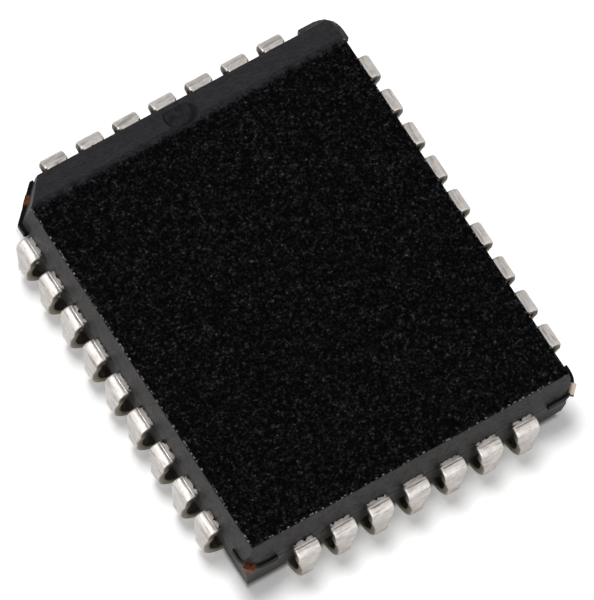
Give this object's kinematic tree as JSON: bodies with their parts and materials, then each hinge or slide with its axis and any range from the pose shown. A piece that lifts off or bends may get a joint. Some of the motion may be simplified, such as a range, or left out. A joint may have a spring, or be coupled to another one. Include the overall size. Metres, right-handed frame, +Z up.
{
  "type": "plastic leaded chip carrier",
  "caption": "Rectangular surface-mount chip in a black moulded body with J-bent tinned leads on all four sides and a cut pin 1 corner.",
  "frame": {"origin": "middle of the seating plane that the leads' feet stand on", "axes": "+Z up through the top face, +Y towards the pin 1 side, +X to the right seen from above"},
  "size_m": [0.0124, 0.0148, 0.0034],
  "materials": {
    "mould_resin": "matte",
    "tinned_lead": "satin",
    "bare_copper": "satin",
    "bond_layer": "matte",
    "silicon": "polished",
    "gold_wire": "polished"
  },
  "bodies": {
    "root": {"body": "mould_resin", "lead_01": "tinned_lead", "lead_02": "tinned_lead", "lead_03": "tinned_lead", "lead_04": "tinned_lead", "lead_05": "tinned_lead", "lead_06": "tinned_lead", "lead_07": "tinned_lead", "lead_08": "tinned_lead", "lead_09": "tinned_lead", "lead_10": "tinned_lead", "lead_11": "tinned_lead", "lead_12": "tinned_lead", "lead_13": "tinned_lead", "lead_14": "tinned_lead", "lead_15": "tinned_lead", "lead_16": "tinned_lead", "lead_17": "tinned_lead", "lead_18": "tinned_lead", "lead_19": "tinned_lead", "lead_20": "tinned_lead", "lead_21": "tinned_lead", "lead_22": "tinned_lead", "lead_23": "tinned_lead", "lead_24": "tinned_lead", "lead_25": "tinned_lead", "lead_26": "tinned_lead", "lead_27": "tinned_lead", "lead_28": "tinned_lead", "lead_29": "tinned_lead", "lead_30": "tinned_lead", "lead_31": "tinned_lead", "lead_32": "tinned_lead", "die_paddle": "bare_copper", "die_attach": "bond_layer", "silicon_die": "silicon", "bond_wires": "gold_wire"}
  },
  "joints": []
}
